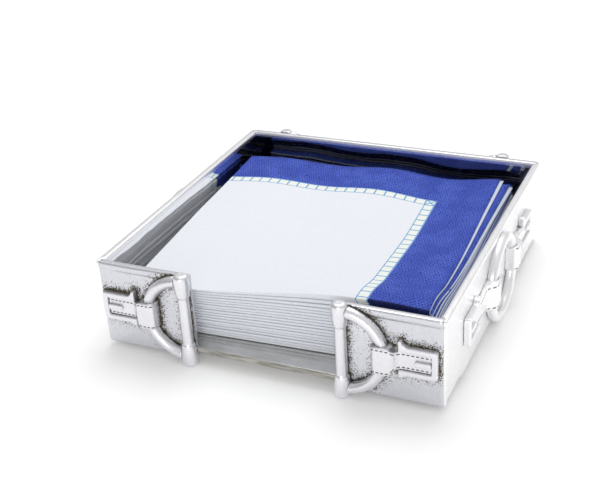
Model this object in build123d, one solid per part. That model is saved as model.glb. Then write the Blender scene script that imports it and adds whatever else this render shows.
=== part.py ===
from build123d import *
import os

# Open cast metal napkin tray with horse-bit ornaments, filled with folded paper napkins.
# Millimetres, +Z up, front towards -Y, origin on the floor under the middle of the tray.

# Tray
box_width = 190.0
box_depth = 190.0
wall_height = 49.0
wall_thickness = 3.5
foot_drop = 3.0
corner_round = 2.0
corner_lip = 1.2
rim_depth = 3.4
rim_overhang = 0.7
rim_round = 1.1
left_heel_chamfer = 4.5
right_heel_chamfer = 2.6
base_thickness = 3.5
base_rise = 3.2
base_edge_round = 0.8
tab_clearance = 0.1

# Bit bars and rings, round rods with a flat back on the wall
rod_diameter = 6.0
rod_rise = 2.2
bar_inset = 3.0
bit_margin = 2.5
back_bar_margin = 23.0
ring_radius = 21.8
ring_floor_clearance = 0.3
sleeve_length = 12.8
sleeve_diameter = 8.2
sleeve_swell = 0.35
sleeve_neck_diameter = 7.0
sleeve_flat_diameter = 4.4
front_overshoot = 2.0
back_overshoot = 0.8
rod_clearance = 0.12

# Straps
strap_thickness = 1.6
strap_rise = 2.2
strap_width = 9.8
loop_width = 15.0
loop_margin = 2.4
loop_round = 2.6
crest_length = 4.6
slope_length = 8.0
front_strap_show = 4.4
side_strap_show = 20.6

# Buckles
buckle_length = 19.6
buckle_height = 16.0
buckle_thickness = 3.4
buckle_bar = 3.0
buckle_clearance = 0.2
buckle_corner = 1.6
buckle_edge_round = 0.45
front_buckle_margin = 3.0
upper_ear = 3.2
lower_ear = 1.4
ear_length = 5.0
ear_tip = 1.8
ear_round = 0.75
tongue_width = 2.6
tongue_length = 8.6
tongue_thickness = 1.5
tongue_clearance = 0.1

# Napkins
napkin_count = 18
napkin_play = 9.0
napkin_turn = 2.7
napkin_edge_round = 0.4
napkin_seat_clearance = 0.2
stack_height_left = 28.8
stack_height_right = 36.3
stack_offset_x = -2.0
stack_offset_y = 2.0
stack_lean = 3.5

# One overrun serves all cuts
cut_overrun = 20.0

# Worked out from the sizes above
half_width = box_width / 2
half_depth = box_depth / 2
inner_width = box_width - 2 * wall_thickness
inner_depth = box_depth - 2 * wall_thickness
wall_top = foot_drop + wall_height
middle_height = foot_drop + wall_height / 2
base_bottom = foot_drop + base_rise
base_top = base_bottom + base_thickness
seam = half_width - corner_lip
rod_radius = rod_diameter / 2
rod_front = rod_rise + rod_radius
front_bar_top = wall_top + front_overshoot
back_bar_top = wall_top + back_overshoot
bit_radius = wall_height / 2 - bit_margin
ring_height = ring_floor_clearance + rod_radius + ring_radius
front_reach = bit_radius + rod_radius + front_strap_show + buckle_length
side_reach = ring_radius + rod_radius + side_strap_show + buckle_length
panel_width = bar_inset + front_reach + front_buckle_margin
gap_width = box_width - 2 * panel_width
bar_offset = gap_width / 2 + bar_inset
back_bar_offset = half_width - back_bar_margin
napkin_size = min(inner_width, inner_depth) - 2 * napkin_play


def span(x_low, x_high, y_low, y_high, z_low, z_high):
    """A box between two corners."""
    size = (x_high - x_low, y_high - y_low, z_high - z_low)
    return Pos((x_low + x_high) / 2, (y_low + y_high) / 2, (z_low + z_high) / 2) * Box(*size)


def ease(start, end):
    """Two equal arcs from one point to another, level at both ends."""
    run = end[0] - start[0]
    middle = ((start[0] + end[0]) / 2, (start[1] + end[1]) / 2)
    return [TangentArc(start, middle, tangent=(run, 0)), TangentArc(end, middle, tangent=(-run, 0))]


# Walls: one rounded shell with a bead along its rim, cut into pieces at the corner seams
def wall_shell():
    inner = Rectangle(inner_width, inner_depth)
    plate = extrude(RectangleRounded(box_width, box_depth, corner_round) - inner, wall_height)
    bead_width = box_width + 2 * rim_overhang
    bead_depth = box_depth + 2 * rim_overhang
    bead_outline = RectangleRounded(bead_width, bead_depth, corner_round + rim_overhang) - inner
    bead = Pos(0, 0, wall_height - rim_depth) * extrude(bead_outline, rim_depth)
    shell = Pos(0, 0, foot_drop) * (plate + bead)
    return fillet(shell.edges().group_by(Axis.Z)[-1], rim_round)


def side_region():
    """The space of the right wall: its full thickness between the end plates, and a lip over their ends."""
    far_x = half_width + cut_overrun
    far_y = half_depth + cut_overrun
    top = wall_top + cut_overrun
    lip = span(seam, far_x, -far_y, far_y, 0, top)
    return lip + span(inner_width / 2, seam, -inner_depth / 2, inner_depth / 2, 0, top)


def end_region(x_low, x_high):
    """The space of a plate along the front edge, from one place across to another."""
    return span(x_low, x_high, -half_depth - cut_overrun, -inner_depth / 2, 0, wall_top + cut_overrun)


def heel_wedge(chamfer):
    """The wedge cut off the lower left corner of the tray's front."""
    far = chamfer + cut_overrun
    wedge = Polygon(
        (-half_width - cut_overrun, foot_drop - cut_overrun),
        (-half_width - cut_overrun, foot_drop + far),
        (far - half_width, foot_drop - cut_overrun),
        align=None,
    )
    return Pos(0, -inner_depth / 2, 0) * extrude(Plane.XZ * wedge, wall_thickness + cut_overrun)


def base_plate():
    """The floor of the tray, with a tab that closes the front gap."""
    plate = Rectangle(inner_width, inner_depth)
    tab_depth = half_depth
    tab = Pos(0, -tab_depth / 2) * Rectangle(gap_width - 2 * tab_clearance, tab_depth)
    solid = Pos(0, 0, base_bottom) * extrude(plate + tab, base_thickness)
    front_edges = solid.edges().filter_by(Axis.X).group_by(Axis.Y)[0]
    return fillet(front_edges, base_edge_round)


# Ornaments are drawn on a wall whose outer face is the plane Y = 0 and that faces -Y, at their true height,
# and are then set on the walls. X runs from the ring's centre towards the buckle.
def outside(shape):
    """The part of a shape that stands proud of the wall's face."""
    reach = box_width
    return shape & span(-reach, reach, -reach, 0, -reach, reach)


def face_plane(rise):
    """The plane that a strap or buckle is drawn on, at a height above the wall's face."""
    return Plane((0, -rise, middle_height), x_dir=(1, 0, 0), z_dir=(0, -1, 0))


def sleeve_outline(end, way, clearance):
    """Half the section of a sleeve, from its flat end along the rod. The way is up or down, 1 or -1."""
    radius = sleeve_diameter / 2 + clearance
    neck = sleeve_neck_diameter / 2 + clearance
    flat = sleeve_flat_diameter / 2 + clearance
    outer = end - way * clearance
    shoulder = outer + way * (radius - flat)
    inner = end + way * (sleeve_length + clearance)
    swell = (radius + neck) / 2 + sleeve_swell
    return [
        Line((0, outer), (flat, outer)),
        TangentArc((flat, outer), (radius, shoulder), tangent=(1, 0)),
        ThreePointArc((radius, shoulder), (swell, (shoulder + inner) / 2), (neck, inner)),
        Line((neck, inner), (rod_radius + clearance, inner)),
    ]


def bit_bar_envelope(bar_top, clearance):
    """The upright rod with a sleeve at both ends. The lower sleeve is a foot on the floor."""
    lower = sleeve_outline(0, 1, clearance)
    upper = sleeve_outline(bar_top, -1, clearance)
    rod = Line(lower[-1] @ 1, upper[-1] @ 1)
    axis = Line(lower[0] @ 0, upper[0] @ 0)
    section = make_face([*lower, *upper, rod, axis])
    return Pos(0, -rod_rise, 0) * revolve(Plane.YZ * section, Axis.Z)


def ring_envelope(radius, height, clearance):
    """A whole ring of round rod, lying against the wall."""
    return Pos(0, -rod_rise, height) * Rot(90, 0, 0) * Torus(radius, rod_radius + clearance)


def half_ring_envelope(clearance):
    """The half of a bit's ring that goes from one sleeve round to the other."""
    reach = box_width
    ring = ring_envelope(bit_radius, middle_height, clearance)
    return ring & span(0, reach, -reach, reach, -reach, reach)


def bit_bar(bar_top):
    return outside(bit_bar_envelope(bar_top, 0))


def half_ring(bar_top):
    return outside(half_ring_envelope(0)) - bit_bar_envelope(bar_top, rod_clearance)


def bit_room(bar_top):
    """The space that a bit takes up in front of the wall's face."""
    return outside(bit_bar_envelope(bar_top, rod_clearance)) + outside(half_ring_envelope(rod_clearance))


def round_ring():
    return outside(ring_envelope(ring_radius, ring_height, 0))


def strap_profile(radius, strap_end):
    """The strap seen from its edge: up over the rod, then down to lie flat under the buckle."""
    loop_start = radius - rod_radius - loop_margin
    loop_front = rod_front + rod_clearance + strap_thickness
    crest_start = loop_start + loop_round
    crest_end = radius + crest_length - loop_round
    flat_start = crest_end + slope_length
    outline = [
        Line((loop_start, 0), (loop_start, loop_front - loop_round)),
        CenterArc((crest_start, loop_front - loop_round), loop_round, 90, 90),
        Line((crest_start, loop_front), (crest_end, loop_front)),
        *ease((crest_end, loop_front), (flat_start, strap_rise)),
        Line((flat_start, strap_rise), (strap_end, strap_rise)),
        Line((strap_end, strap_rise), (strap_end, 0)),
        Line((strap_end, 0), (loop_start, 0)),
    ]
    return make_face(outline)


def strap_outline(radius, narrow_start, strap_end):
    """The strap seen from the front: wide at the loop, narrow under the buckle."""
    start = radius - rod_radius - loop_margin
    wide_end = radius + crest_length - loop_round
    wide = loop_width / 2
    narrow = strap_width / 2
    outline = [
        Line((start, wide), (wide_end, wide)),
        *ease((wide_end, wide), (narrow_start, narrow)),
        Line((narrow_start, narrow), (strap_end, narrow)),
        Line((strap_end, narrow), (strap_end, -narrow)),
        Line((strap_end, -narrow), (narrow_start, -narrow)),
        *ease((narrow_start, -narrow), (wide_end, -wide)),
        Line((wide_end, -wide), (start, -wide)),
        Line((start, -wide), (start, wide)),
    ]
    return make_face(outline)


def strap(radius, ring_centre, reach):
    """A strap that loops over a ring and ends under its buckle."""
    strap_end = reach - buckle_bar - buckle_clearance
    narrow_start = reach - buckle_length - buckle_clearance
    edge_plane = Plane((0, 0, middle_height), x_dir=(1, 0, 0), z_dir=(0, 0, -1))
    band = extrude(edge_plane * strap_profile(radius, strap_end), loop_width, both=True)
    cutter = extrude(face_plane(0) * strap_outline(radius, narrow_start, strap_end), rod_front + cut_overrun)
    return (band & cutter) - ring_envelope(radius, ring_centre, rod_clearance)


def ear(start, height):
    """The upturned end of a buckle arm."""
    arm_edge = buckle_height / 2
    inside = arm_edge - buckle_bar / 2
    tip = arm_edge + height
    outline = [
        Line((start, inside), (start, tip)),
        Line((start, tip), (start + ear_tip, tip)),
        TangentArc((start + ear_length, arm_edge), (start + ear_tip, tip), tangent=(-1, 0)),
        Line((start + ear_length, arm_edge), (start + ear_length, inside)),
        Line((start + ear_length, inside), (start, inside)),
    ]
    face = make_face(outline)
    return fillet(face.vertices().group_by(Axis.Y)[-1], ear_round)


def buckle_frame(reach):
    """A buckle open towards the ring, with an ear on the end of each arm."""
    start = reach - buckle_length
    window_length = buckle_length - buckle_bar
    window_height = strap_width + 2 * buckle_clearance
    body = Pos(start + buckle_length / 2, 0) * RectangleRounded(buckle_length, buckle_height, buckle_corner)
    ears = ear(start, upper_ear) + mirror(ear(start, lower_ear), about=Plane.XZ)
    window_reach = window_length + cut_overrun
    window = Pos(reach - buckle_bar - window_reach / 2, 0) * Rectangle(window_reach, window_height)
    solid = extrude(face_plane(0) * (body + ears - window), buckle_thickness)
    return fillet(solid.edges().group_by(Axis.Y)[0], buckle_edge_round)


def buckle_tongue(reach):
    """The pin that lies on the strap, from the buckle's bar to its round tip."""
    end = reach - buckle_bar - tongue_clearance
    shank = tongue_length - tongue_width / 2
    outline = Pos(end - shank / 2, 0) * Rectangle(shank, tongue_width)
    outline += Pos(end - shank, 0) * Circle(tongue_width / 2)
    return extrude(face_plane(strap_rise) * outline, tongue_thickness)


# Napkins: the stack is thicker on the right, so each napkin is a thin wedge
def stack_level(share):
    """The tilted plane at a share of the stack's height, on a napkin's own centre line."""
    left = stack_height_left * share
    right = stack_height_right * share
    rise = (right - left) / napkin_size
    height = base_top + napkin_seat_clearance + (left + right) / 2
    return Plane((0, 0, height), x_dir=(1, 0, rise), z_dir=(-rise, 0, 1))


def napkin(index):
    """One folded napkin, counted from the bottom of the stack."""
    prism = extrude(Rectangle(napkin_size, napkin_size), wall_top + cut_overrun)
    above = split(prism, bisect_by=stack_level(index / napkin_count), keep=Keep.TOP)
    slab = split(above, bisect_by=stack_level((index + 1) / napkin_count), keep=Keep.BOTTOM)
    folds = slab.edges().filter_by(Axis.Y).group_by(Axis.X)[0]
    folds += slab.edges().group_by(Axis.Y)[0].filter_by(Axis.Z, reverse=True)
    slab = fillet(folds, napkin_edge_round)
    lean = stack_lean * index / (napkin_count - 1)
    return Pos(stack_offset_x, stack_offset_y - lean, 0) * Rot(0, 0, napkin_turn) * slab


# Setting the ornaments on the walls
def on_front_right(shape):
    return Pos(bar_offset, -half_depth, 0) * shape


def on_front_left(shape):
    return mirror(on_front_right(shape), about=Plane.YZ)


def on_back_left(shape):
    return mirror(Pos(-back_bar_offset, -half_depth, 0) * shape, about=Plane.XZ)


def on_back_right(shape):
    return mirror(on_back_left(shape), about=Plane.YZ)


def on_right_back(shape):
    return Pos(half_width, 0, 0) * Rot(0, 0, 90) * shape


def on_right_front(shape):
    return mirror(on_right_back(shape), about=Plane.XZ)


def on_left_back(shape):
    return mirror(on_right_back(shape), about=Plane.YZ)


def on_left_front(shape):
    return mirror(on_right_front(shape), about=Plane.YZ)


BIT_PLACES = {
    "front_left": (on_front_left, front_bar_top),
    "front_right": (on_front_right, front_bar_top),
    "back_left": (on_back_left, back_bar_top),
    "back_right": (on_back_right, back_bar_top),
}
SIDE_PLACES = {
    "left_front": on_left_front,
    "left_back": on_left_back,
    "right_front": on_right_front,
    "right_back": on_right_back,
}


def tray_nodes():
    """Floor and walls, relieved where an ornament stands taller than the underside of the rim bead."""
    shell = wall_shell()
    back_room = bit_room(back_bar_top)
    ring_room = outside(ring_envelope(ring_radius, ring_height, rod_clearance))
    side_wall = mirror((shell & side_region()) - on_right_back(ring_room), about=Plane.YZ)
    panel = (shell & end_region(gap_width / 2, seam)) - on_front_right(bit_room(front_bar_top))
    panel = mirror(panel, about=Plane.YZ)
    back = mirror(shell & end_region(-seam, seam), about=Plane.XZ)
    left_heel = heel_wedge(left_heel_chamfer)
    right_heel = heel_wedge(right_heel_chamfer)
    return {
        "base_plate": base_plate(),
        "left_wall": side_wall - left_heel,
        "right_wall": mirror(side_wall - right_heel, about=Plane.YZ),
        "back_wall": back - on_back_left(back_room) - on_back_right(back_room),
        "front_left_panel": panel - left_heel,
        "front_right_panel": mirror(panel - right_heel, about=Plane.YZ),
    }


def strap_nodes(place, put, radius, ring_centre, reach):
    """A strap with its buckle, set in its place."""
    return {
        f"{place}_strap": put(strap(radius, ring_centre, reach)),
        f"{place}_buckle_frame": put(buckle_frame(reach)),
        f"{place}_buckle_tongue": put(buckle_tongue(reach)),
    }


def ornament_nodes():
    """Half-ring bits on the front and back, round rings on the sides, and their straps."""
    nodes = {}
    for place, (put, bar_top) in BIT_PLACES.items():
        nodes[f"{place}_bit_bar"] = put(bit_bar(bar_top))
        nodes[f"{place}_bit_ring"] = put(half_ring(bar_top))
        nodes |= strap_nodes(place, put, bit_radius, middle_height, front_reach)
    nodes["left_ring"] = on_left_back(round_ring())
    nodes["right_ring"] = on_right_back(round_ring())
    for place, put in SIDE_PLACES.items():
        nodes |= strap_nodes(place, put, ring_radius, ring_height, side_reach)
    return nodes


def napkin_nodes():
    """The stack, counted from the bottom, and the napkin on its top."""
    nodes = {f"napkin_{index + 1:02d}": napkin(index) for index in range(napkin_count - 1)}
    nodes["top_napkin"] = napkin(napkin_count - 1)
    return nodes


os.makedirs("parts", exist_ok=True)
for name, shape in (tray_nodes() | ornament_nodes() | napkin_nodes()).items():
    export_step(shape, f"parts/{name}.step")
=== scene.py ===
import math
import random
import bmesh
import bpy
import numpy as np
from mathutils import Matrix, Vector, noise
from mathutils.bvhtree import BVHTree


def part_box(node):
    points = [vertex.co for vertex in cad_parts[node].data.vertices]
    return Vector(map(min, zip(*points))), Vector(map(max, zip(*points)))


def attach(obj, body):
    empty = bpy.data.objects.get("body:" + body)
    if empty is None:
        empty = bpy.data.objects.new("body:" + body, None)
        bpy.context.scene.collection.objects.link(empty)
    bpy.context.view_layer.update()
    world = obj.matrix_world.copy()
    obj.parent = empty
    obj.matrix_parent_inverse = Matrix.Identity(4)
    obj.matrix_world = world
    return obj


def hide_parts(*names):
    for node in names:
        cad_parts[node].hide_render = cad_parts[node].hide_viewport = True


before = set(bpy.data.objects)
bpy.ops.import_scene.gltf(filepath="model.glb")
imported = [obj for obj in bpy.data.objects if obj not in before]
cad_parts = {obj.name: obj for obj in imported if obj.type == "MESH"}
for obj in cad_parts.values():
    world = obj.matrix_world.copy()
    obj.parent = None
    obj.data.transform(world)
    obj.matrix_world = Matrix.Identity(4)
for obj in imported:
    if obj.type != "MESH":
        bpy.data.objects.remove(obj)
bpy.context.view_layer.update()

# Open cast metal napkin tray with strap and ring ornaments, filled with folded paper napkins.
# Lengths are metres unless a name ends in mm. The frame is the CAD frame: front towards -Y, +Z up.
# Texture scales are per metre. Colours are linear.

MM = 0.001
scene = bpy.context.scene
scene.view_settings.view_transform = "Standard"

# Camera, as fitted to the corners of the tray in the photograph
CAMERA_PLACE = (0.22008, -0.51131, 0.32305)
CAMERA_AZIMUTH = math.radians(25.254)
CAMERA_HEIGHT = math.radians(27.529)
CAMERA_ROLL = math.radians(-3.570)
CAMERA_LENS_MM = 66.26
CAMERA_SENSOR_MM = 36
CAMERA_NEAR = 0.01

# Light: a sky that is brighter on one side, a lamp over the back and a low lamp in front
WHITE = (1, 1, 1, 1)
SKY_LOW = 0.34
SKY_HIGH = 0.80
SKY_BRIGHT_SIDE = Vector((0.42, 0.30, 0.86))
SKY_SLOPE_LOW = -0.5
SKY_SLOPE_HIGH = 0.9
TOP_LIGHT_PLACE = (-0.10, 0.46, 1.22)
TOP_LIGHT_TARGET = (0, 0, 0)
TOP_LIGHT_SIZE = 0.8
TOP_LIGHT_POWER = 5.8
FRONT_LIGHT_PLACE = (0.3, -1.3, 0.24)
FRONT_LIGHT_TARGET = (0, 0, 0.03)
FRONT_LIGHT_SIZE = 0.7
FRONT_LIGHT_POWER = 3.6
FLOOR_SIZE = 8.0
FLOOR_COLOR = (0.97, 0.97, 0.97, 1.0)
FLOOR_ROUGHNESS = 0.9
FLOOR_SPECULAR = 0.1
FLOOR_GLOW = 0.12
FAR_GLOW = 0.5
GLOW_START = 0.22
GLOW_END = 1.2

# Colours of the metal
SILVER = (0.70, 0.705, 0.745, 1.0)
# Painted light: a brighter silver for the side walls and their ornaments, standing in for the stronger
# light on the sides
SIDE_SILVER_PAINTED_LIGHT = (0.94, 0.94, 0.95, 1.0)
POLISHED = (0.92, 0.92, 0.92, 1.0)
RELIEF_SILVER = (0.82, 0.82, 0.85, 1.0)
# Painted shade: a dark mirror colour for the inside faces towards the back, in place of the shade in the
# gap behind the napkins
PAINTED_INSIDE_SHADE = (0.19, 0.19, 0.20, 1.0)
TARNISH = (0.068, 0.051, 0.023, 1.0)
BED_DARK = (0.66, 0.65, 0.62, 1)
BED_LIGHT = (0.76, 0.75, 0.73, 1)
BED_EDGE_DARK = (0.30, 0.29, 0.26, 1)
BED_EDGE_LIGHT = (0.52, 0.51, 0.47, 1)

# Grain, patina and stitches of the metal
GRAIN_SCALE = 1900
GRAIN_ROUGHNESS = 0.6
CLOUD_SCALE = 420
SWELL_SCALE = 45
PATINA_SHARE = 0.43
CLOUD_SHARE = 0.22
TARNISH_START = 0.85
TARNISH_END = 0.93
TARNISH_METALLIC = 0.1
TARNISH_ROUGHNESS = 0.7
SMOOTH_GRAIN_ROUGHNESS = 0.26
ROUGH_GRAIN_ROUGHNESS = 0.42
MIRROR_ROUGHNESS_SHARE = 0.22
SWELL_BUMP = 0.00035
PIT_BUMP = 0.00012
CLEAN_PIT_SHARE = 0.3
STITCH_PITCH_MM = 2.35
STITCH_INSET_MM = 1.25
STITCH_START_MM = 0.26
STITCH_END_MM = 0.42
STITCH_LENGTH_SHARES = (0.26, 0.36)
STITCH_DARKNESS = 0.96

# Tray floor
RUB_SCALE = (90, 900, 900)
BED_CLOUD_SCALE = 60
BED_EDGE_START = 0.0002
BED_EDGE_END = 0.0006
BED_ROUGHNESS = (0.2, 0.28)
BED_EDGE_ROUGHNESS = 0.5
RUB_BUMP = 0.000006
BED_CLOUD_BUMP = 0.00015

# Castings
WELD = 1e-6
SOFTEN = 0.5
WALL_VOXEL = 0.0007
WALL_ROUNDS = 2
STRAP_VOXEL = 0.0003
RELIEF_VOXEL = 0.00036
RELIEF_ROUNDS = 3
RIM_DEPTH = 0.0034
RIM_BLEND = 0.0006
NEIGHBOUR_REACH = 0.004
SEARCH_REACHES = 12
WALL_PATINA_REACH = 0.0033
RELIEF_PATINA_REACH = 0.0004
HAMMER_SCALE = 55
HAMMER_DEPTH = 0.00018
PIT_SCALE = 700
PIT_DEPTH = 0.0003
OUTER_FACING = 0.7
INNER_DEPTH_SHARE = 0.15
# Painted shade on the inside faces: how strong, and where it grows towards the back
INSIDE_SHADE_SHARE = 0.95
INSIDE_SHADE_START = 0.02
INSIDE_SHADE_END = 0.088
SIDES = ("left_", "right_")
# Patina on the side ornaments is kept light, partly as painted light for the brighter lit sides
SIDE_DARKNESS = 0.35
FRONT_DARKNESS = 0.65
STRAP_BIN_MM = 0.5

# Each wall's outward side and how dark its patina is; the right wall's patina is kept light, partly as
# painted light for the brightly lit side
WALLS = {
    "left_wall": ((-1, 0, 0), 0.5),
    "right_wall": ((1, 0, 0), 0.25),
    "back_wall": ((0, 1, 0), 0.8),
    "front_left_panel": ((0, -1, 0), 1.12),
    "front_right_panel": ((0, -1, 0), 1.0),
}

# The axis along which each strap runs, and which way, away from its ring
STRAP_WAYS = {
    "front_left": (0, -1), "front_right": (0, 1), "back_left": (0, 1), "back_right": (0, -1),
    "left_front": (1, -1), "left_back": (1, 1), "right_front": (1, -1), "right_back": (1, 1),
}

# Print on the napkins
BORDER_MM = 31.4
BORDER_BLUR_MM = 0.2
CELL_MM = 6.25
RUNG_HALF = 0.075
RAIL_PLACES = ((0.05, 0.055), (0.97, 0.05))
CROSS_HALF = 0.1
LINE_SHARES = (0.6, 1.3)
BAND_START = (-0.03, 0.03)
BAND_END = (1.0, 1.05)
DOT_RATES = (0.44, 0.36)
DOT_WARPS = ((230, 1.4), (310, 1.1))
DOT_SIZE = (0.03, 0.19)
DOT_PATCH_SCALE = 420
DOT_PATCH = (0.36, 0.62, 0.7, 1.0)
INK_CLOUD_SCALE = 75
INK_CLOUD = (0.35, 0.68)
INK_DARK = (0.066, 0.112, 0.54, 1)
INK_LIGHT = (0.092, 0.152, 0.64, 1)
INK_DOT = (0.010, 0.022, 0.19, 1)
# Painted shade: the blue print goes near black close to the front fold, standing in for the shadow on the
# folded faces
INK_PAINTED_FOLD_SHADE = (0.003, 0.004, 0.035, 1)
FOLD_SHADE_START_MM = 1.0
FOLD_SHADE_END_MM = 1.7
FOLD_SHADE_SHARE = 0.85
PAPER_SHADE = (0.82, 0.845, 0.905, 1)
PAPER_WHITE = (0.86, 0.88, 0.925, 1)
LADDER_GROUND = (0.88, 0.905, 0.86, 1)
LADDER_LINE = (0.15, 0.38, 0.66, 1)
FIBRE_SPAN = (0.3, 0.7)
PRINT_FIBRE_SCALE = 900
PRINT_BUMP = 0.00012
PRINT_DOT_HEIGHT = -0.6
PRINT_FIBRE_HEIGHT = 0.4
INNER_DOT_SHARE = 0.12

# Back and cut edge of the napkins
BACK_WHITE = (0.83, 0.89, 0.98, 1)
BACK_SHADE = (0.78, 0.84, 0.94, 1)
BACK_FIBRE_SCALE = 1200
BACK_BUMP = 0.00006
EDGE_WHITE = (0.82, 0.87, 0.95, 1)
# Dark navy for the back edges: the dye of the print, made darker than the print as painted shade for the
# gap behind the stack
EDGE_INK_AND_SHADE = (0.012, 0.018, 0.12, 1)
EDGE_RUNS = 75
EDGE_RUN_SHARE = 0.35
EDGE_BREAK_SCALE = 260
EDGE_INK_AND_SHADE_SPAN = (0.48, 0.58)
EDGE_LEAST_INK_AND_SHADE = 0.25

# Napkins
NAPKIN = 0.165
NAPKIN_FLAT = 0.33
NAPKIN_TURN = math.radians(2.7)
NAPKIN_COUNT = 18
NAPKIN_LAYERS = 4
PAPER = 0.00013
LAYER = 0.00045
INNER_FOLD_SHARE = 0.8
TOP_STEPS = 44
STACK_STEPS = 22
FOLD_PLACES_MM = np.array([0.05, 0.15, 0.3, 0.5, 0.75, 1.1, 1.7])
FIRST_STEP = 0.0028
LOOSE_TURN = math.radians(0.3)
LOOSE_SHIFT = 0.0004
SEED = 11

# The top napkin's front fold stands up on the right, its back edge waves, and open edges gape a little
FOLD_LIFT = 0.0042
FOLD_LIFT_POWER = 14
FOLD_LIFT_ACROSS = (0.30, 0.78)
FOLD_LIFT_DEEP = (0.04, 0.20)
FOLD_LIFT_DROP = 0.25
FOLD_LIFT_DROP_ACROSS = (0.85, 1.0)
WAVE_HEIGHT = 0.0014
WAVE_CREST = 0.577
WAVE_LENGTH = 0.43
WAVE_DEEP = (0.35, 0.85)
GAPE = 0.0001
GAPE_SPAN = (0.8, 1.0)
BEND_SCALE = 5
BEND_STEP = 0.04
BEND_HEIGHT = 0.00025

# How far the layers slip: at the right edge in front, at the right edge at the back, at the back edge.
# A layer's key says whether it lies above the second fold and whether it lies inside the first.
LAYERS = ((True, False), (True, True), (False, True), (False, False))
STACK_SLIP_MM = (0.6, 1.2, 1.2)
TOP_SLIP_MM = ((-2.0, -2.0, 0.0), (-2.0, -0.1, -1.2), (-0.8, 4.5, -4.5), (-0.8, 6.5, -6.5))
FANNED = 5
FAN_STEP = 0.0017
FAN_START = -0.0016
FAN_LAYER = 0.0004
FAN_PLAY = 0.0002
FAN_BACK = 0.005
FAN_BACK_PLAY = 0.001
FAN_DEPTH = -0.006
FAN_DEPTH_PLAY = 0.002

# Height of the stack over its bed, by shares of its width from the left and of its depth from the front
STACK_ACROSS = np.array([0.0, 0.25, 0.5, 0.8, 1.0])
STACK_DEEP = np.array([0.0, 0.08, 0.2, 0.5, 0.8, 1.0])
STACK_OVERRUN = 1.06
STACK_HEIGHTS_MM = np.array([
    [28.0, 30.0, 33.0, 34.5, 33.2],
    [28.2, 29.8, 32.2, 34.0, 34.6],
    [28.6, 29.5, 31.2, 32.8, 33.0],
    [30.0, 29.8, 29.4, 28.6, 31.0],
    [31.0, 31.8, 31.6, 30.2, 30.8],
    [31.5, 31.4, 31.4, 30.4, 31.0],
])


class Graph:
    """Short names for the nodes of one material."""

    def __init__(self, name):
        self.material = bpy.data.materials.new(name)
        self.material.use_nodes = True
        self.tree = self.material.node_tree
        self.shader = self.tree.nodes["Principled BSDF"]

    def node(self, kind, **settings):
        made = self.tree.nodes.new(kind)
        for key, value in settings.items():
            setattr(made, key, value)
        return made

    def put(self, socket, value):
        if isinstance(value, bpy.types.NodeSocket):
            self.tree.links.new(value, socket)
        else:
            socket.default_value = value

    def set(self, name, value):
        self.put(self.shader.inputs[name], value)

    def math(self, operation, *values):
        made = self.node("ShaderNodeMath", operation=operation)
        for socket, value in zip(made.inputs, values):
            self.put(socket, value)
        return made.outputs[0]

    def off_middle(self, value, middle=0.5):
        """How far a value lies from a middle, on either side."""
        return self.math("ABSOLUTE", self.math("SUBTRACT", value, middle))

    def step(self, value, low, high, start=0.0, end=1.0):
        """A soft step: start below low, end above high."""
        made = self.node("ShaderNodeMapRange", interpolation_type="SMOOTHSTEP")
        for socket, item in zip(made.inputs, (value, low, high, start, end)):
            self.put(socket, item)
        return made.outputs[0]

    def mix(self, share, first, second):
        made = self.node("ShaderNodeMix", data_type="RGBA")
        self.put(made.inputs[0], share)
        self.put(made.inputs[6], first)
        self.put(made.inputs[7], second)
        return made.outputs[2]

    def attribute(self, name):
        return self.node("ShaderNodeAttribute", attribute_name=name)

    def split(self, vector):
        made = self.node("ShaderNodeSeparateXYZ")
        self.put(made.inputs[0], vector)
        return made.outputs

    def sheet(self):
        """Place on the flat sheet, from 0 to 1 both ways."""
        return self.split(self.node("ShaderNodeUVMap", uv_map="sheet").outputs[0])

    def place(self):
        return self.node("ShaderNodeTexCoord").outputs["Object"]

    def noise(self, vector, scale, detail, roughness=0.5):
        made = self.node("ShaderNodeTexNoise")
        self.put(made.inputs["Vector"], vector)
        self.put(made.inputs["Scale"], scale)
        self.put(made.inputs["Detail"], detail)
        self.put(made.inputs["Roughness"], roughness)
        return made.outputs["Fac"]

    def bump(self, height, distance, below=None):
        made = self.node("ShaderNodeBump")
        self.put(made.inputs["Height"], height)
        self.put(made.inputs["Distance"], distance)
        if below:
            self.put(made.inputs["Normal"], below)
        return made.outputs["Normal"]


# Camera
def look():
    a, e, r = CAMERA_AZIMUTH, CAMERA_HEIGHT, CAMERA_ROLL
    back = Vector((math.sin(a) * math.cos(e), -math.cos(a) * math.cos(e), math.sin(e)))
    right = Vector((math.cos(a), math.sin(a), 0))
    up = back.cross(right)
    turned = right * math.cos(r) + up * math.sin(r)
    upright = up * math.cos(r) - right * math.sin(r)
    data = bpy.data.cameras.new("camera")
    data.lens = CAMERA_LENS_MM
    data.sensor_width = CAMERA_SENSOR_MM
    data.clip_start = CAMERA_NEAR
    camera = bpy.data.objects.new("camera", data)
    matrix = Matrix((turned, upright, back)).transposed().to_4x4()
    matrix.translation = CAMERA_PLACE
    camera.matrix_world = matrix
    scene.collection.objects.link(camera)
    scene.camera = camera


# Light and floor
def area_light(name, place, target, size, power):
    data = bpy.data.lights.new(name, "AREA")
    data.shape = "SQUARE"
    data.size = size
    data.energy = power
    lamp = bpy.data.objects.new(name, data)
    lamp.location = place
    lamp.rotation_euler = (Vector(target) - Vector(place)).to_track_quat("-Z", "Y").to_euler()
    scene.collection.objects.link(lamp)


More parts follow.
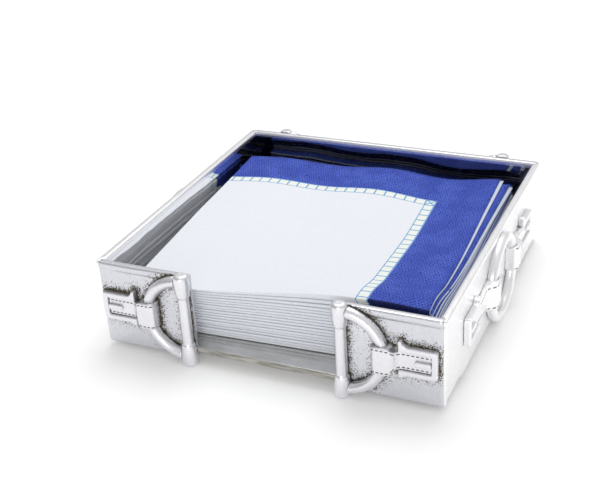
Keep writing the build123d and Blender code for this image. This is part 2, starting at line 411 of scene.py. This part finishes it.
def sky():
    """A world that lights more from one side and is white where the camera sees it."""
    world = bpy.data.worlds.new("studio")
    world.use_nodes = True
    tree = world.node_tree
    ground = tree.nodes["Background"]
    ground.inputs["Color"].default_value = WHITE
    way = tree.nodes.new("ShaderNodeTexCoord")
    slope = tree.nodes.new("ShaderNodeVectorMath")
    slope.operation = "DOT_PRODUCT"
    slope.inputs[1].default_value = SKY_BRIGHT_SIDE
    tree.links.new(way.outputs["Generated"], slope.inputs[0])
    strength = tree.nodes.new("ShaderNodeMapRange")
    tree.links.new(slope.outputs["Value"], strength.inputs["Value"])
    strength.inputs["From Min"].default_value = SKY_SLOPE_LOW
    strength.inputs["From Max"].default_value = SKY_SLOPE_HIGH
    strength.inputs["To Min"].default_value = SKY_LOW
    strength.inputs["To Max"].default_value = SKY_HIGH
    path = tree.nodes.new("ShaderNodeLightPath")
    seen = tree.nodes.new("ShaderNodeMath")
    seen.operation = "MAXIMUM"
    tree.links.new(path.outputs["Is Camera Ray"], seen.inputs[0])
    tree.links.new(strength.outputs[0], seen.inputs[1])
    tree.links.new(seen.outputs[0], ground.inputs["Strength"])
    scene.world = world


def floor_paint():
    """White floor that keeps the shadow, and glows for the camera and for mirrors, more so far away."""
    graph = Graph("floor")
    graph.set("Base Color", FLOOR_COLOR)
    graph.set("Roughness", FLOOR_ROUGHNESS)
    graph.set("Specular IOR Level", FLOOR_SPECULAR)
    graph.set("Emission Color", WHITE)
    path = graph.node("ShaderNodeLightPath")
    seen = graph.math("MAXIMUM", path.outputs["Is Camera Ray"], path.outputs["Is Glossy Ray"])
    away = graph.node("ShaderNodeVectorMath", operation="LENGTH")
    graph.put(away.inputs[0], graph.place())
    glow = graph.step(away.outputs["Value"], GLOW_START, GLOW_END, FLOOR_GLOW, FAR_GLOW)
    graph.set("Emission Strength", graph.math("MULTIPLY", seen, glow))
    return graph.material


def studio():
    sky()
    area_light("top_light", TOP_LIGHT_PLACE, TOP_LIGHT_TARGET, TOP_LIGHT_SIZE, TOP_LIGHT_POWER)
    area_light("front_light", FRONT_LIGHT_PLACE, FRONT_LIGHT_TARGET, FRONT_LIGHT_SIZE, FRONT_LIGHT_POWER)
    half = FLOOR_SIZE / 2
    corners = [(-half, -half, 0), (half, -half, 0), (half, half, 0), (-half, half, 0)]
    mesh = bpy.data.meshes.new("floor")
    mesh.from_pydata(corners, [], [(0, 1, 2, 3)])
    mesh.materials.append(floor_paint())
    floor = bpy.data.objects.new("floor", mesh)
    scene.collection.objects.link(floor)


# Metal
def stitches(graph):
    """Two dashed rows, each a little in from an edge of the strap."""
    along, inset, _ = graph.split(graph.attribute("strap_way").outputs["Vector"])
    dash = graph.off_middle(graph.math("FRACT", graph.math("DIVIDE", along, STITCH_PITCH_MM)))
    dash = graph.step(dash, *STITCH_LENGTH_SHARES, 1.0, 0.0)
    row = graph.step(graph.off_middle(inset, STITCH_INSET_MM), STITCH_START_MM, STITCH_END_MM, 1.0, 0.0)
    return graph.math("MULTIPLY", graph.math("MULTIPLY", dash, row), STITCH_DARKNESS)


def cast_metal(name, silver, stitched=False):
    """Bright cast metal: dark pitted patina beside other pieces, mirror polish on the inside faces, with
    painted shade darkening the mirror towards the back.
    """
    graph = Graph(name)
    place = graph.place()
    patina = graph.attribute("patina").outputs["Fac"]
    polish = graph.attribute("polish").outputs["Fac"]
    inside_shade = graph.attribute("inside_shade").outputs["Fac"]
    rough_side = graph.math("SUBTRACT", 1.0, polish)
    grain = graph.noise(place, GRAIN_SCALE, 1, GRAIN_ROUGHNESS)
    cloud = graph.noise(place, CLOUD_SCALE, 2)
    swell = graph.noise(place, SWELL_SCALE, 1)
    pitted = graph.math("MULTIPLY_ADD", cloud, CLOUD_SHARE, grain)
    pitted = graph.math("MULTIPLY_ADD", patina, PATINA_SHARE, pitted)
    dark = graph.math("MULTIPLY", graph.step(pitted, TARNISH_START, TARNISH_END), rough_side)
    if stitched:
        dark = graph.math("MAXIMUM", dark, stitches(graph))
    # painted shade: the mirror colour darkens towards the back
    mirror = graph.mix(inside_shade, POLISHED, PAINTED_INSIDE_SHADE)
    graph.set("Base Color", graph.mix(dark, graph.mix(polish, silver, mirror), TARNISH))
    graph.set("Metallic", graph.step(dark, 0.0, 1.0, 1.0, TARNISH_METALLIC))
    rough = graph.step(grain, 0.3, 0.75, SMOOTH_GRAIN_ROUGHNESS, ROUGH_GRAIN_ROUGHNESS)
    rough = graph.math("MAXIMUM", rough, graph.step(dark, 0.1, 0.8, 0.0, TARNISH_ROUGHNESS))
    rough = graph.math("MULTIPLY", rough, graph.step(polish, 0.0, 1.0, 1.0, MIRROR_ROUGHNESS_SHARE))
    graph.set("Roughness", rough)
    waves = graph.bump(swell, SWELL_BUMP)
    pits = graph.math("MULTIPLY", grain, rough_side)
    pits = graph.math("MULTIPLY", pits, graph.step(patina, 0.0, 0.5, CLEAN_PIT_SHARE, 1.0))
    graph.set("Normal", graph.bump(pits, PIT_BUMP, waves))
    return graph.material


def floor_metal():
    """The tray's floor: polished, with faint rubbing marks, and darker and rougher on its front edge."""
    graph = Graph("floor_metal")
    place = graph.place()
    stretch = graph.node("ShaderNodeMapping")
    graph.put(stretch.inputs["Vector"], place)
    stretch.inputs["Scale"].default_value = RUB_SCALE
    rub = graph.noise(stretch.outputs[0], 1.0, 3)
    cloud = graph.noise(place, BED_CLOUD_SCALE, 3)
    front_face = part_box("base_plate")[0].y
    depth = graph.split(place)[1]
    front = graph.step(depth, front_face + BED_EDGE_START, front_face + BED_EDGE_END, 1.0, 0.0)
    bed = graph.mix(graph.step(cloud, 0.35, 0.7), BED_DARK, BED_LIGHT)
    edge = graph.mix(graph.step(rub, 0.35, 0.65), BED_EDGE_DARK, BED_EDGE_LIGHT)
    graph.set("Base Color", graph.mix(front, bed, edge))
    graph.set("Metallic", 1.0)
    rough = graph.step(rub, 0.3, 0.7, *BED_ROUGHNESS)
    graph.set("Roughness", graph.math("MAXIMUM", rough, graph.math("MULTIPLY", front, BED_EDGE_ROUGHNESS)))
    graph.set("Normal", graph.bump(rub, RUB_BUMP, graph.bump(cloud, BED_CLOUD_BUMP)))
    return graph.material


def coordinates(mesh, kind="co"):
    values = np.empty(len(mesh.vertices) * 3)
    mesh.vertices.foreach_get(kind, values)
    return values.reshape(-1, 3)


def write_attribute(mesh, name, values):
    vector = values.ndim == 2
    made = mesh.attributes.new(name, "FLOAT_VECTOR" if vector else "FLOAT", "POINT")
    made.data.foreach_set("vector" if vector else "value", np.ascontiguousarray(values, np.float32).ravel())


def ease(value, low, high):
    share = np.clip((value - low) / (high - low), 0, 1)
    return share * share * (3 - 2 * share)


def neighbours(node, names):
    """A search tree of the CAD nodes that lie close to this one."""
    low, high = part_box(node)
    points, faces = [], []
    for other in names:
        far_low, far_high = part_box(other)
        apart = max(max(far_low[i] - high[i], low[i] - far_high[i]) for i in range(3))
        if other == node or apart > NEIGHBOUR_REACH:
            continue
        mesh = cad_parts[other].data
        start = len(points)
        points += [v.co.copy() for v in mesh.vertices]
        faces += [[start + i for i in p.vertices] for p in mesh.polygons]
    return BVHTree.FromPolygons(points, faces)


def nearness(points, tree, reach):
    """One at the nearest other piece, fading over the reach."""
    far = SEARCH_REACHES * reach
    found = [tree.find_nearest(Vector(p), far) for p in points]
    gaps = np.array([hit[3] if hit[3] is not None else far for hit in found])
    return np.exp(-gaps / reach)


def casting(node, voxel, rounds):
    """A copy of a CAD node with the soft edges of a casting."""
    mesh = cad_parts[node].data.copy()
    form = bmesh.new()
    form.from_mesh(mesh)
    bmesh.ops.remove_doubles(form, verts=form.verts, dist=WELD)
    form.to_mesh(mesh)
    form.free()
    piece = bpy.data.objects.new(f"{node}_casting", mesh)
    scene.collection.objects.link(piece)
    skin = piece.modifiers.new("skin", "REMESH")
    skin.mode = "VOXEL"
    skin.voxel_size = voxel
    skin.use_smooth_shade = True
    soft = piece.modifiers.new("soft", "SMOOTH")
    soft.factor = SOFTEN
    soft.iterations = rounds
    ready = piece.evaluated_get(bpy.context.evaluated_depsgraph_get())
    piece.data = bpy.data.meshes.new_from_object(ready)
    piece.modifiers.clear()
    piece.data.materials.clear()
    return piece


def settle(piece, node, shader):
    piece.data.materials.append(shader)
    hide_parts(node)
    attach(piece, "tray")


def wall(node, outward, darkness, others, shader):
    """A wall: hammered a little, pitted beside its ornaments, polished inside, with painted shade on the
    inside that grows towards the back.
    """
    piece = casting(node, WALL_VOXEL, WALL_ROUNDS)
    mesh = piece.data
    points = coordinates(mesh)
    normals = coordinates(mesh, "normal")
    facing = normals @ np.array(outward)
    near = nearness(points, neighbours(node, others), WALL_PATINA_REACH)
    patina = near * np.clip(facing * 3, 0, 1) * darkness
    swell = np.array([noise.noise(Vector(p) * HAMMER_SCALE) for p in points])
    pits = np.array([max(0.0, noise.noise(Vector(p) * PIT_SCALE)) for p in points])
    depth = swell * HAMMER_DEPTH - pits * patina * PIT_DEPTH
    depth *= np.where(facing > OUTER_FACING, 1.0, INNER_DEPTH_SHARE)
    mesh.vertices.foreach_set("co", (points + normals * depth[:, None]).ravel())
    mesh.update()
    rim_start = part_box(node)[1].z - RIM_DEPTH
    rim = np.clip((points[:, 2] - rim_start) / RIM_BLEND, 0, 1)
    polish = np.clip(-facing * 2, 0, 1) * (1 - rim)
    write_attribute(mesh, "patina", patina)
    write_attribute(mesh, "polish", polish)
    # painted shade on the inside, growing towards the back
    write_attribute(mesh, "inside_shade", INSIDE_SHADE_SHARE * polish * ease(points[:, 1], INSIDE_SHADE_START, INSIDE_SHADE_END))
    settle(piece, node, shader)


def relief(node, voxel, others, shader):
    """A polished ornament, dark with patina where it meets its neighbours, and less so on the sides, where
    the lighter patina is partly painted light for the brighter lit sides.
    """
    piece = casting(node, voxel, RELIEF_ROUNDS)
    darkness = SIDE_DARKNESS if node.startswith(SIDES) else FRONT_DARKNESS
    near = nearness(coordinates(piece.data), neighbours(node, others), RELIEF_PATINA_REACH)
    write_attribute(piece.data, "patina", near * darkness)
    settle(piece, node, shader)
    return piece


def strap_way(piece, node, axis, sign):
    """How far along its strap and in from its edge each point lies, in millimetres."""
    low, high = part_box(node)
    points = coordinates(piece.data)
    start = low[axis] if sign > 0 else high[axis]
    along = sign * (points[:, axis] - start) / MM
    across = np.abs(points[:, 2] - (low.z + high.z) / 2) / MM
    bins = np.clip((along / STRAP_BIN_MM).astype(int), 0, None)
    edge = np.zeros(bins.max() + 1)
    np.maximum.at(edge, bins, across)
    centres = (np.arange(len(edge)) + 0.5) * STRAP_BIN_MM
    inset = np.interp(along, centres, edge) - across
    write_attribute(piece.data, "strap_way", np.stack([along, inset, np.zeros(len(along))], axis=1))


def tray():
    metal = [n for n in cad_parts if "napkin" not in n]
    ornaments = [n for n in metal if not n.endswith(("_wall", "_panel", "base_plate"))]
    no_bits = [n for n in metal if "_bit_" not in n]
    wall_shader = cast_metal("cast_metal", SILVER)
    # painted light: the side walls, straps and ornaments get a brighter copy of the metal
    side_painted_light_shader = cast_metal("side_metal_painted_light", SIDE_SILVER_PAINTED_LIGHT)
    relief_shader = cast_metal("ornament_metal", RELIEF_SILVER)
    strap_shader = cast_metal("strap_metal", RELIEF_SILVER, stitched=True)
    side_strap_painted_light_shader = cast_metal("side_strap_metal_painted_light", SIDE_SILVER_PAINTED_LIGHT, stitched=True)
    for node, (outward, darkness) in WALLS.items():
        wall(node, outward, darkness, ornaments, side_painted_light_shader if node.startswith(SIDES) else wall_shader)
    for node in ornaments:
        on_side = node.startswith(SIDES)
        plain_shader = side_painted_light_shader if on_side else relief_shader
        if node.endswith("_strap"):
            piece = relief(node, STRAP_VOXEL, metal, side_strap_painted_light_shader if on_side else strap_shader)
            strap_way(piece, node, *STRAP_WAYS[node.removesuffix("_strap")])
        elif node.endswith(("_bit_bar", "_bit_ring")):
            relief(node, RELIEF_VOXEL, no_bits, plain_shader)
        else:
            relief(node, RELIEF_VOXEL, metal, plain_shader)
    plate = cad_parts["base_plate"]
    plate.data.materials.clear()
    plate.data.materials.append(floor_metal())


# Paper
def soft_line(graph, value, middle, half):
    low, high = LINE_SHARES
    return graph.step(graph.off_middle(value, middle), half * low, half * high, 1.0, 0.0)


def hemstitch(graph, across, count):
    """Lines of a ladder that runs round the sheet, with a cross in the square at each corner."""
    along = graph.math("FRACT", count)
    rung = graph.math("MAXIMUM", *(soft_line(graph, along, end, RUNG_HALF) for end in (0.0, 1.0)))
    rail = graph.math("MAXIMUM", *(soft_line(graph, across, middle, half) for middle, half in RAIL_PLACES))
    falling = soft_line(graph, graph.math("SUBTRACT", across, along), 0.0, CROSS_HALF)
    rising = soft_line(graph, graph.math("ADD", across, along), 1.0, CROSS_HALF)
    cross = graph.math("MAXIMUM", falling, rising)
    corner = graph.math("LESS_THAN", count, 1.0)
    return graph.math("MAXIMUM", graph.math("MAXIMUM", rung, rail), graph.math("MULTIPLY", cross, corner))


def embossed_dots(graph, edge_x, edge_y):
    """Uneven rows of dots along the diagonals."""
    ways = (graph.math("ADD", edge_x, edge_y), graph.math("SUBTRACT", edge_x, edge_y))
    rows = []
    for way, rate, (scale, warp) in zip(ways, DOT_RATES, DOT_WARPS):
        straight = graph.math("MULTIPLY", way, rate)
        rows.append(graph.math("MULTIPLY_ADD", graph.noise(graph.place(), scale, 1), warp, straight))
    first, second = rows
    first = graph.math("MULTIPLY_ADD", graph.math("FLOOR", second), 0.5, first)
    offsets = [graph.math("SUBTRACT", graph.math("FRACT", way), 0.5) for way in (first, second)]
    reach = graph.math("ADD", *(graph.math("MULTIPLY", offset, offset) for offset in offsets))
    dot = graph.step(reach, *DOT_SIZE, 1.0, 0.0)
    patch = graph.noise(graph.place(), DOT_PATCH_SCALE, 2)
    return graph.math("MULTIPLY", dot, graph.step(patch, *DOT_PATCH))


def printed_paper():
    """White tissue with a blue dotted border and a ladder of hemstitches inside it."""
    graph = Graph("printed_paper")
    half_mm = NAPKIN / MM
    sheet_x, sheet_y, _ = graph.sheet()
    edge_x, edge_y = (graph.math("MULTIPLY_ADD", graph.off_middle(value), -2 * half_mm, half_mm)
                      for value in (sheet_x, sheet_y))
    near = graph.math("MINIMUM", edge_x, edge_y)
    far = graph.math("MAXIMUM", edge_x, edge_y)
    across, count = (graph.math("DIVIDE", graph.math("SUBTRACT", value, BORDER_MM), CELL_MM)
                     for value in (near, far))
    ladder = hemstitch(graph, across, count)
    band = graph.math("MULTIPLY", graph.step(across, *BAND_START), graph.step(across, *BAND_END, 1.0, 0.0))
    dot = embossed_dots(graph, edge_x, edge_y)
    fibre = graph.noise(graph.place(), PRINT_FIBRE_SCALE, 3)

    ink_cloud = graph.step(graph.noise(graph.place(), INK_CLOUD_SCALE, 2), *INK_CLOUD)
    from_fold = graph.math("MULTIPLY", graph.off_middle(sheet_y), 2 * half_mm)
    # painted shade: the print is darkened near the front fold, where the folded faces lie in shadow
    fold_shade = graph.step(from_fold, FOLD_SHADE_START_MM, FOLD_SHADE_END_MM, FOLD_SHADE_SHARE, 0.0)
    blue = graph.mix(dot, graph.mix(ink_cloud, INK_DARK, INK_LIGHT), INK_DOT)
    blue = graph.mix(fold_shade, blue, INK_PAINTED_FOLD_SHADE)
    white = graph.mix(graph.step(fibre, *FIBRE_SPAN), PAPER_SHADE, PAPER_WHITE)
    stitched = graph.mix(ladder, LADDER_GROUND, LADDER_LINE)
    inked = graph.step(near, BORDER_MM - BORDER_BLUR_MM, BORDER_MM + BORDER_BLUR_MM, 1.0, 0.0)
    graph.set("Base Color", graph.mix(band, graph.mix(inked, white, blue), stitched))
    graph.set("Roughness", 0.85)
    graph.set("Specular IOR Level", 0.2)

    fading = graph.step(near, BORDER_MM, BORDER_MM + CELL_MM, 1.0, INNER_DOT_SHARE)
    pressed = graph.math("MULTIPLY", dot, fading)
    fibres = graph.math("MULTIPLY", fibre, PRINT_FIBRE_HEIGHT)
    height = graph.math("MULTIPLY_ADD", pressed, PRINT_DOT_HEIGHT, fibres)
    graph.set("Normal", graph.bump(height, PRINT_BUMP))
    return graph.material


def cut_edge():
    """The cut edge of the tissue: white, with dark ink in short runs along the edges at the back, partly
    dye and partly painted shade for the dark gap behind the stack.
    """
    graph = Graph("paper_edge")
    sheet_x, sheet_y, _ = graph.sheet()
    at_back = graph.math("GREATER_THAN", graph.off_middle(sheet_y), graph.off_middle(sheet_x))
    run = graph.math("FRACT", graph.math("MULTIPLY", sheet_x, EDGE_RUNS))
    broken = graph.noise(graph.place(), EDGE_BREAK_SCALE, 2)
    # partly dye, partly painted shade: the back edges are made dark navy
    ink_and_shade = graph.step(graph.math("MULTIPLY_ADD", run, EDGE_RUN_SHARE, broken), *EDGE_INK_AND_SHADE_SPAN)
    ink_and_shade = graph.math("MULTIPLY", graph.math("MAXIMUM", ink_and_shade, EDGE_LEAST_INK_AND_SHADE), at_back)
    graph.set("Base Color", graph.mix(ink_and_shade, EDGE_WHITE, EDGE_INK_AND_SHADE))
    graph.set("Roughness", 0.9)
    graph.set("Specular IOR Level", 0.1)
    return graph.material


def plain_paper():
    """The unprinted side of the tissue."""
    graph = Graph("paper_back")
    fibre = graph.noise(graph.place(), BACK_FIBRE_SCALE, 3)
    graph.set("Base Color", graph.mix(graph.step(fibre, *FIBRE_SPAN), BACK_SHADE, BACK_WHITE))
    graph.set("Roughness", 0.9)
    graph.set("Specular IOR Level", 0.15)
    graph.set("Normal", graph.bump(fibre, BACK_BUMP))
    return graph.material


# Shape of the stack
def spline_weights(knots, places):
    """How much each knot counts at each place on a smooth curve through all the knots."""
    count = len(knots)
    eye = np.eye(count)
    gaps = np.diff(knots)
    slopes = np.diff(eye, axis=0) / gaps[:, None]
    system = np.eye(count)
    targets = np.zeros((count, count))
    for i in range(1, count - 1):
        system[i, i - 1:i + 2] = gaps[i - 1], 2 * (gaps[i - 1] + gaps[i]), gaps[i]
        targets[i] = 6 * (slopes[i] - slopes[i - 1])
    bends = np.linalg.solve(system, targets)
    index = np.clip(np.searchsorted(knots, places) - 1, 0, count - 2)
    gap = gaps[index][:, None]
    after = (places - knots[index])[:, None] / gap
    before = 1 - after
    line = before * eye[index] + after * eye[index + 1]
    curve = (before ** 3 - before) * bends[index] + (after ** 3 - after) * bends[index + 1]
    return line + curve * gap ** 2 / 6


def stack_height(u, v):
    """Height of the stack over its bed at shares of its width and depth."""
    across = spline_weights(STACK_ACROSS, np.clip(u.ravel(), 0, STACK_OVERRUN))
    deep = spline_weights(STACK_DEEP, np.clip(v.ravel(), 0, STACK_OVERRUN))
    return np.einsum("pi,ij,pj->p", deep, STACK_HEIGHTS_MM, across).reshape(u.shape) * MM


def half_steps(count):
    """Places along one half of the sheet, from the fold out, close together at the fold."""
    return np.concatenate([FOLD_PLACES_MM * MM, np.linspace(FIRST_STEP, NAPKIN, count)])


def round_off(distance, radius):
    """How far a fold has opened at a distance from its crease, from 0 to 1."""
    share = np.clip(distance / radius, 0, 1)
    return np.sqrt(1 - (1 - share) ** 2)


def sheet_height(u, v, level, index):
    """Height over the bed of a napkin's layers, at shares of the stack's width and depth."""
    share = (index + (level + 0.5) / NAPKIN_LAYERS) / NAPKIN_COUNT
    z = stack_height(u, v) * share
    lift = ease(u, *FOLD_LIFT_ACROSS) * (1 - ease(v, *FOLD_LIFT_DEEP))
    lift *= 1 - FOLD_LIFT_DROP * ease(u, *FOLD_LIFT_DROP_ACROSS)
    z += FOLD_LIFT * lift * share ** FOLD_LIFT_POWER
    wave = np.cos(2 * math.pi * (u - WAVE_CREST) / WAVE_LENGTH) * (0.6 + 0.5 * u) * ease(v, *WAVE_DEEP)
    z += WAVE_HEIGHT * wave * share ** 2
    open_edge = np.maximum(ease(u, *GAPE_SPAN), ease(v, *GAPE_SPAN))
    z += (level - 1.5) * GAPE * open_edge
    spots = zip((u * BEND_SCALE).ravel(), (v * BEND_SCALE).ravel())
    bend = np.array([noise.noise(Vector((a, b, index * BEND_STEP))) for a, b in spots])
    return z + bend.reshape(z.shape) * BEND_HEIGHT * share


def folded_sheet(node, index, slip, rng):
    """Points of one sheet folded in four: first fold to the left, second to the front, print outside."""
    top = index == NAPKIN_COUNT - 1
    steps = half_steps(TOP_STEPS if top else STACK_STEPS)
    axis = np.concatenate([-steps[::-1], [0], steps])
    s, t = np.meshgrid(axis, axis, indexing="ij")
    outer = np.sign(s) * round_off(np.abs(s), LAYER * INNER_FOLD_SHARE)
    opened = np.sign(t) * round_off(np.abs(t), LAYER * (1 + 0.5 * outer))
    level = 1.5 + opened * (1 + 0.5 * outer)
    depth_share = np.abs(t) / NAPKIN
    spread = np.zeros_like(s)
    depth = np.zeros_like(s)
    for (is_upper, is_inner), (front, back, deep) in slip.items():
        part = ((t > 0) == is_upper) & ((s < 0) == is_inner)
        spread[part] = front + (back - front) * depth_share[part]
        depth[part] = deep
    x = np.abs(s) * (1 + spread / NAPKIN)
    y = np.abs(t) * (1 + depth / NAPKIN) + LAYER * 0.5 * (1 - outer)
    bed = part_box("napkin_01")[0].z
    z = bed + sheet_height(x / NAPKIN, y / NAPKIN, level, index)
    shift_x, shift_y, turn = (rng.uniform(-1, 1) for _ in range(3))
    angle = NAPKIN_TURN + turn * (0.0 if top else LOOSE_TURN)
    loose = 0.0 if top else LOOSE_SHIFT
    low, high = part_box(node)
    middle = (low + high) / 2
    local_x = x - NAPKIN / 2
    local_y = y - NAPKIN / 2
    world_x = middle.x + local_x * math.cos(angle) - local_y * math.sin(angle) + shift_x * loose
    world_y = middle.y + local_x * math.sin(angle) + local_y * math.cos(angle) + shift_y * loose
    points = np.stack([world_x, world_y, z], axis=2).reshape(-1, 3)
    flat = np.stack([s / NAPKIN_FLAT + 0.5, t / NAPKIN_FLAT + 0.5], axis=2).reshape(-1, 2)
    return points, flat, len(axis)


def napkin(node, index, slip, rng, shaders):
    """One napkin: a folded sheet with a printed side, a plain side and cut edges."""
    points, flat, count = folded_sheet(node, index, slip, rng)
    grid = np.arange(count * count).reshape(count, count)
    quads = np.stack([grid[:-1, :-1], grid[1:, :-1], grid[1:, 1:], grid[:-1, 1:]], axis=2).reshape(-1, 4)
    mesh = bpy.data.meshes.new(f"{node}_sheet")
    mesh.from_pydata(points.tolist(), [], quads.tolist())
    sheet = mesh.uv_layers.new(name="sheet")
    sheet.data.foreach_set("uv", flat[quads.ravel()].astype(np.float32).ravel())
    mesh.shade_smooth()
    for shader in shaders:
        mesh.materials.append(shader)
    piece = bpy.data.objects.new(f"{node}_sheet", mesh)
    scene.collection.objects.link(piece)
    body = piece.modifiers.new("body", "SOLIDIFY")
    body.thickness = PAPER
    body.offset = 0
    body.material_offset = 1
    body.material_offset_rim = 2
    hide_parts(node)
    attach(piece, "top_napkin" if index == NAPKIN_COUNT - 1 else "napkin_stack")
    return piece


def layer_slip(index, rng):
    """How each layer of a napkin slips: at random in the stack, in a fan under the top, as listed on top.
    """
    slip = {key: tuple(rng.uniform(-most, most) * MM for most in STACK_SLIP_MM) for key in LAYERS}
    from_top = NAPKIN_COUNT - 1 - index
    if from_top == 0:
        return {key: tuple(value * MM for value in row) for key, row in zip(LAYERS, TOP_SLIP_MM)}
    if from_top >= FANNED:
        return slip
    reach = from_top * FAN_STEP + FAN_START
    for step, key in enumerate(LAYERS):
        front = reach + step * FAN_LAYER + FAN_PLAY * rng.random()
        back = FAN_BACK + FAN_BACK_PLAY * rng.random()
        slip[key] = (front, back, FAN_DEPTH + FAN_DEPTH_PLAY * rng.random())
    return slip


def stack():
    shaders = (printed_paper(), plain_paper(), cut_edge())
    rng = random.Random(SEED)
    for index in range(NAPKIN_COUNT):
        node = "top_napkin" if index == NAPKIN_COUNT - 1 else f"napkin_{index + 1:02d}"
        piece = napkin(node, index, layer_slip(index, rng), rng, shaders)


look()
studio()
tray()
stack()
